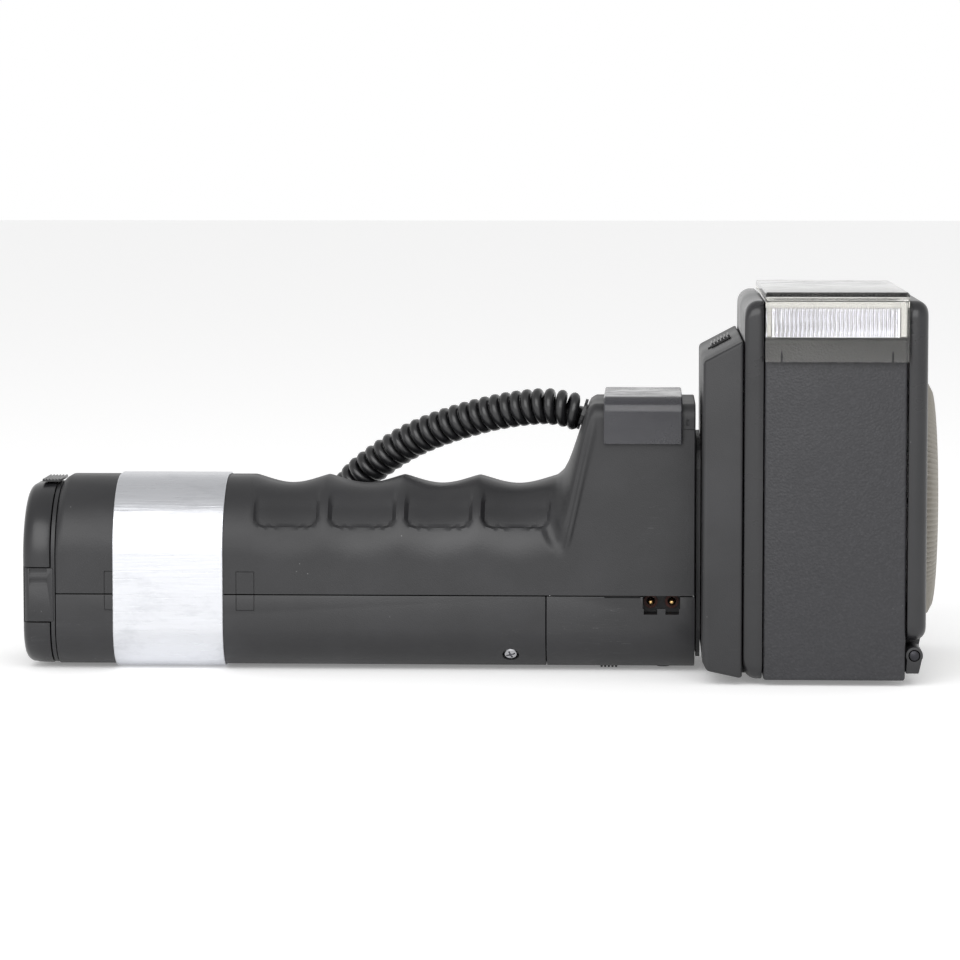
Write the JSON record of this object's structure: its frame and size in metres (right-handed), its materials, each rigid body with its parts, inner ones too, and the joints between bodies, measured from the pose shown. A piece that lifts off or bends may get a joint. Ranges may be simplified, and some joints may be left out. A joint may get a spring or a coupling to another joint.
{
  "type": "handle mount electronic flash",
  "caption": "Handle-mount electronic flash: swivelling and tilting lamp head, exposure dial, battery cassette, slip-on adapters and a coiled sync cord.",
  "frame": {"origin": "under the middle of the flash at its lowest point, the knob of the power switch, with the flash lying on its back", "axes": "+X along the handle towards the top of the lamp head, +Z the front of the flash, which its light leaves, +Y the side that carries the sync cord"},
  "size_m": [0.2492, 0.0978, 0.1047],
  "materials": {
    "black_plastic": "fine moulded satin, rubbed at the edges",
    "textured_black_plastic": "fine pebble grain",
    "gloss_black_plastic": "smooth, half gloss",
    "aluminium_band": "brushed along the handle",
    "screw_steel": "blackened",
    "bright_steel": "bright",
    "brass": "dull",
    "capacitor_sleeve": "shrink sleeve",
    "circuit_board": "resin board",
    "transformer_core": "tape over ferrite",
    "clear_plastic": "clear, ribbed inside",
    "adapter_clear": "clear, slightly aged",
    "smoke_plastic": "smoked",
    "flash_glass": "clear tube",
    "reflector_metal": "bright",
    "coil_lacquer": "lacquered winding",
    "cell_wrap": "plain sleeve",
    "dial_ivory": "aged translucent",
    "lamp_orange": "translucent",
    "cord_rubber": "half gloss"
  },
  "bodies": {
    "handle": {"handle_shell": "black_plastic", "rear_cover": "black_plastic", "control_cover": "black_plastic", "chamber_collar": "black_plastic", "grip_band": "aluminium_band", "cover_screw_near": "screw_steel", "cover_screw_far": "screw_steel", "sync_socket_block": "black_plastic", "socket_pin_left": "brass", "socket_pin_right": "brass", "main_capacitor": "capacitor_sleeve", "circuit_board": "circuit_board", "transformer": "transformer_core", "battery_contact_plate": "circuit_board", "contact_stud_near": "bright_steel", "contact_stud_far": "bright_steel", "subflash_window": "clear_plastic", "subflash_tube": "flash_glass", "photocell": "gloss_black_plastic", "swivel_bulkhead": "black_plastic", "swivel_washer": "black_plastic", "ready_lamp": "lamp_orange", "cord_gland": "cord_rubber", "sync_cord_coil": "cord_rubber", "sync_cord_tail": "cord_rubber", "sync_plug": "bright_steel"},
    "cassette": {"battery_cap": "gloss_black_plastic", "battery_tray": "black_plastic", "cell_1": "cell_wrap", "cell_2": "cell_wrap", "cell_3": "cell_wrap", "cell_4": "cell_wrap", "cell_5": "cell_wrap", "cell_6": "cell_wrap"},
    "latch": {"cap_latch": "gloss_black_plastic"},
    "neck": {"neck_plate": "black_plastic", "swivel_clip": "bright_steel", "tilt_pin": "bright_steel"},
    "tilt_release": {"tilt_release": "gloss_black_plastic"},
    "head": {"head_base": "gloss_black_plastic", "head_case": "textured_black_plastic", "front_lens": "clear_plastic", "reflector": "reflector_metal", "flash_tube": "flash_glass", "tube_cap_near": "bright_steel", "tube_cap_far": "bright_steel", "trigger_coil": "coil_lacquer", "hinge_leaf_near": "black_plastic", "hinge_leaf_far": "black_plastic", "cover_pin": "bright_steel"},
    "cover": {"top_cover": "gloss_black_plastic", "cover_leaf": "black_plastic", "dial_scale": "dial_ivory", "dial_rivet": "bright_steel"},
    "dial": {"dial_ring": "dial_ivory"},
    "diffuser": {"wide_diffuser": "adapter_clear"},
    "sensor_cap": {"sensor_cap": "smoke_plastic"},
    "power": {"power_slide": "gloss_black_plastic"},
    "test": {"test_button": "gloss_black_plastic"}
  },
  "joints": [
    {"name": "cassette_slide", "type": "slide", "parent": "handle", "child": "cassette", "axis": [-1, 0, 0], "range_m": [0, 0.07]},
    {"name": "latch_slide", "type": "slide", "parent": "cassette", "child": "latch", "axis": [-1, 0, 0], "range_m": [0, 0.003]},
    {"name": "head_swivel", "type": "hinge", "parent": "handle", "child": "neck", "pos_m": [0.0611, 0, 0.037], "axis": [1, 0, 0], "range_deg": [-90, 180]},
    {"name": "tilt_release_slide", "type": "slide", "parent": "neck", "child": "tilt_release", "axis": [-0.8842, 0, -0.4671], "range_m": [0, 0.0025], "stiffness_N_per_m": 300},
    {"name": "head_tilt", "type": "hinge", "parent": "neck", "child": "head", "pos_m": [0.0765, 0, 0.00585], "axis": [0, 1, 0], "range_deg": [0, 90]},
    {"name": "top_cover_hinge", "type": "hinge", "parent": "head", "child": "cover", "pos_m": [0.1175, 0, 0.008], "axis": [0, 1, 0], "range_deg": [0, 100]},
    {"name": "dial_turn", "type": "hinge", "parent": "cover", "child": "dial", "pos_m": [0.1206, 0, 0.0462], "axis": [1, 0, 0], "continuous": true},
    {"name": "diffuser_slide", "type": "slide", "parent": "head", "child": "diffuser", "axis": [0, 0, 1], "range_m": [0, 0.045]},
    {"name": "sensor_cap_slide", "type": "slide", "parent": "handle", "child": "sensor_cap", "axis": [0, 0, 1], "range_m": [0, 0.025]},
    {"name": "power_switch", "type": "slide", "parent": "handle", "child": "power", "axis": [1, 0, 0], "range_m": [0, 0.0035]},
    {"name": "test_press", "type": "slide", "parent": "handle", "child": "test", "axis": [0, 0, 1], "range_m": [0, 0.0008], "stiffness_N_per_m": 600}
  ]
}
